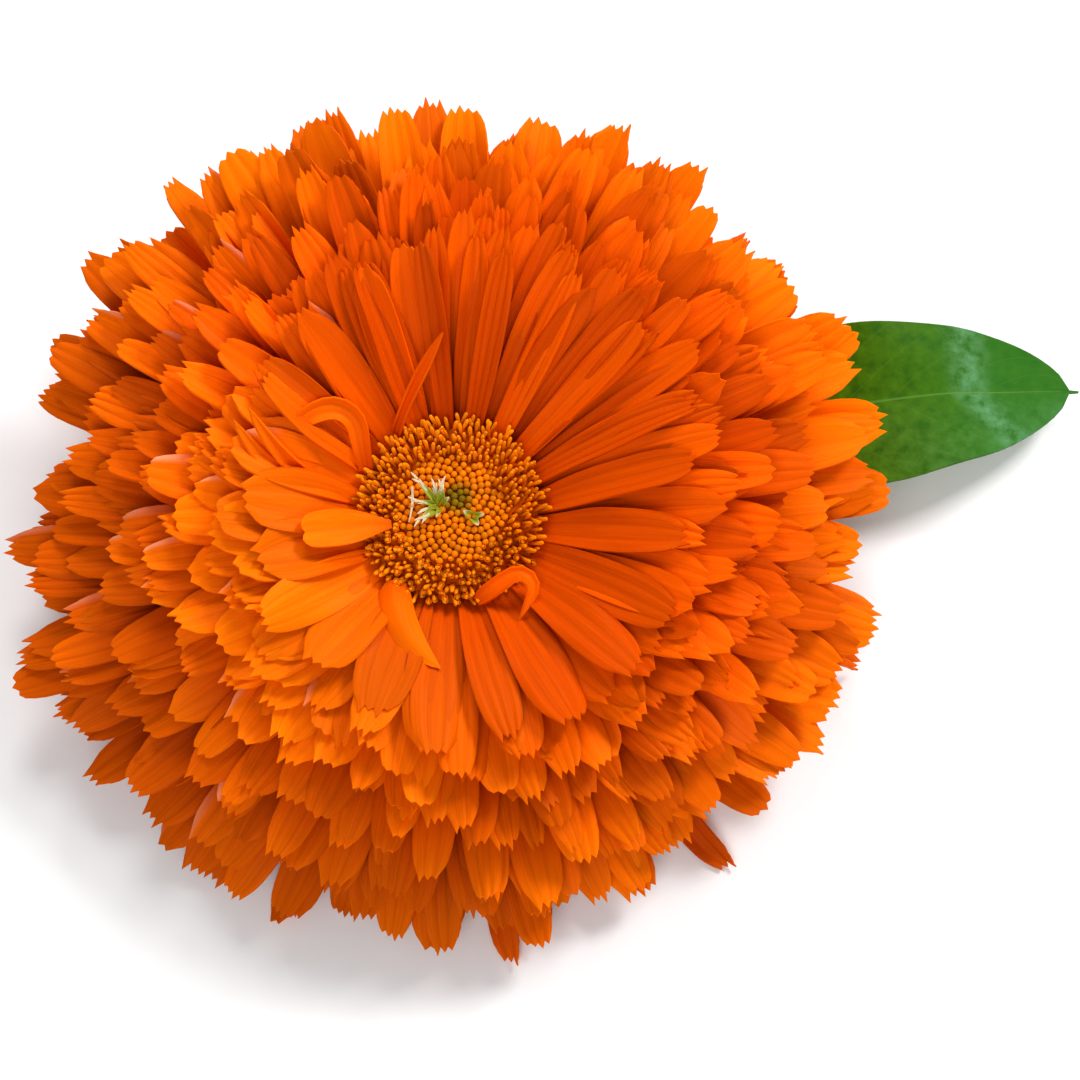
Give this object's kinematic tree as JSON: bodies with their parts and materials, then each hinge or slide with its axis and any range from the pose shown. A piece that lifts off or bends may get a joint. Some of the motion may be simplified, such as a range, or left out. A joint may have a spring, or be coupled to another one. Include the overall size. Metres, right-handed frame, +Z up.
{
  "type": "marigold flower",
  "caption": "Double pot marigold bloom lying face up: domed floret disc, packed rows of toothed orange petals, green bracts, bent stem and one pointed leaf.",
  "frame": {"origin": "middle of the flower's box, on the surface it lies on", "axes": "+Z up from the surface out of the open bloom; -Y the side the bloom leans towards; +X the side the leaf points to"},
  "size_m": [0.1036, 0.0784, 0.0342],
  "materials": {
    "petal": "fresh ray petals: saturated orange, satin, finely ridged along their length, thin enough for light to come through",
    "old_petal": "wilting ray petals: dull brick orange, rolled and dry at the tips",
    "floret": "small waxy tube florets, amber to deep orange",
    "tuft": "pale green hairy scales, whitish at the tips",
    "receptacle": "soft green plant core, matt",
    "bract": "green bracts, hairy, matt",
    "stem": "green ribbed stem with short hairs, pale moist cut at its end",
    "leaf": "fresh leaf, semi-gloss and slightly waxy, pale midrib and side veins"
  },
  "bodies": {
    "root": {"inner_petal_01": "petal", "inner_petal_02": "petal", "inner_petal_03": "petal", "inner_petal_04": "petal", "inner_petal_05": "petal", "inner_petal_06": "petal", "inner_petal_07": "petal", "inner_petal_08": "petal", "inner_petal_09": "petal", "inner_petal_10": "petal", "inner_petal_11": "petal", "inner_petal_12": "petal", "inner_petal_13": "petal", "inner_petal_14": "petal", "inner_petal_15": "petal", "inner_petal_16": "petal", "inner_petal_17": "petal", "inner_petal_18": "petal", "inner_petal_19": "petal", "inner_petal_20": "petal", "inner_petal_21": "petal", "petal_row_02": "petal", "petal_row_03": "petal", "petal_row_04": "petal", "petal_row_05": "petal", "petal_row_06": "petal", "petal_row_07": "petal", "petal_row_08": "petal", "petal_row_09": "petal", "petal_row_10": "petal", "upright_petal": "petal", "hooked_petal": "petal", "short_petal": "petal", "folded_petal": "petal", "curled_petal": "petal", "narrow_petal_1": "petal", "narrow_petal_2": "petal", "old_petal_01": "old_petal", "old_petal_02": "old_petal", "old_petal_03": "old_petal", "old_petal_04": "old_petal", "old_petal_05": "old_petal", "old_petal_06": "old_petal", "old_petal_07": "old_petal", "old_petal_08": "old_petal", "old_petal_09": "old_petal", "old_petal_10": "old_petal", "old_petal_11": "old_petal", "disc_middle": "floret", "disc_ring_1": "floret", "disc_ring_2": "floret", "disc_ring_3": "floret", "green_tuft_left": "tuft", "green_tuft_right": "tuft", "receptacle": "receptacle", "inner_bracts": "bract", "outer_bracts": "bract", "stem": "stem", "leaf": "leaf"}
  },
  "joints": []
}
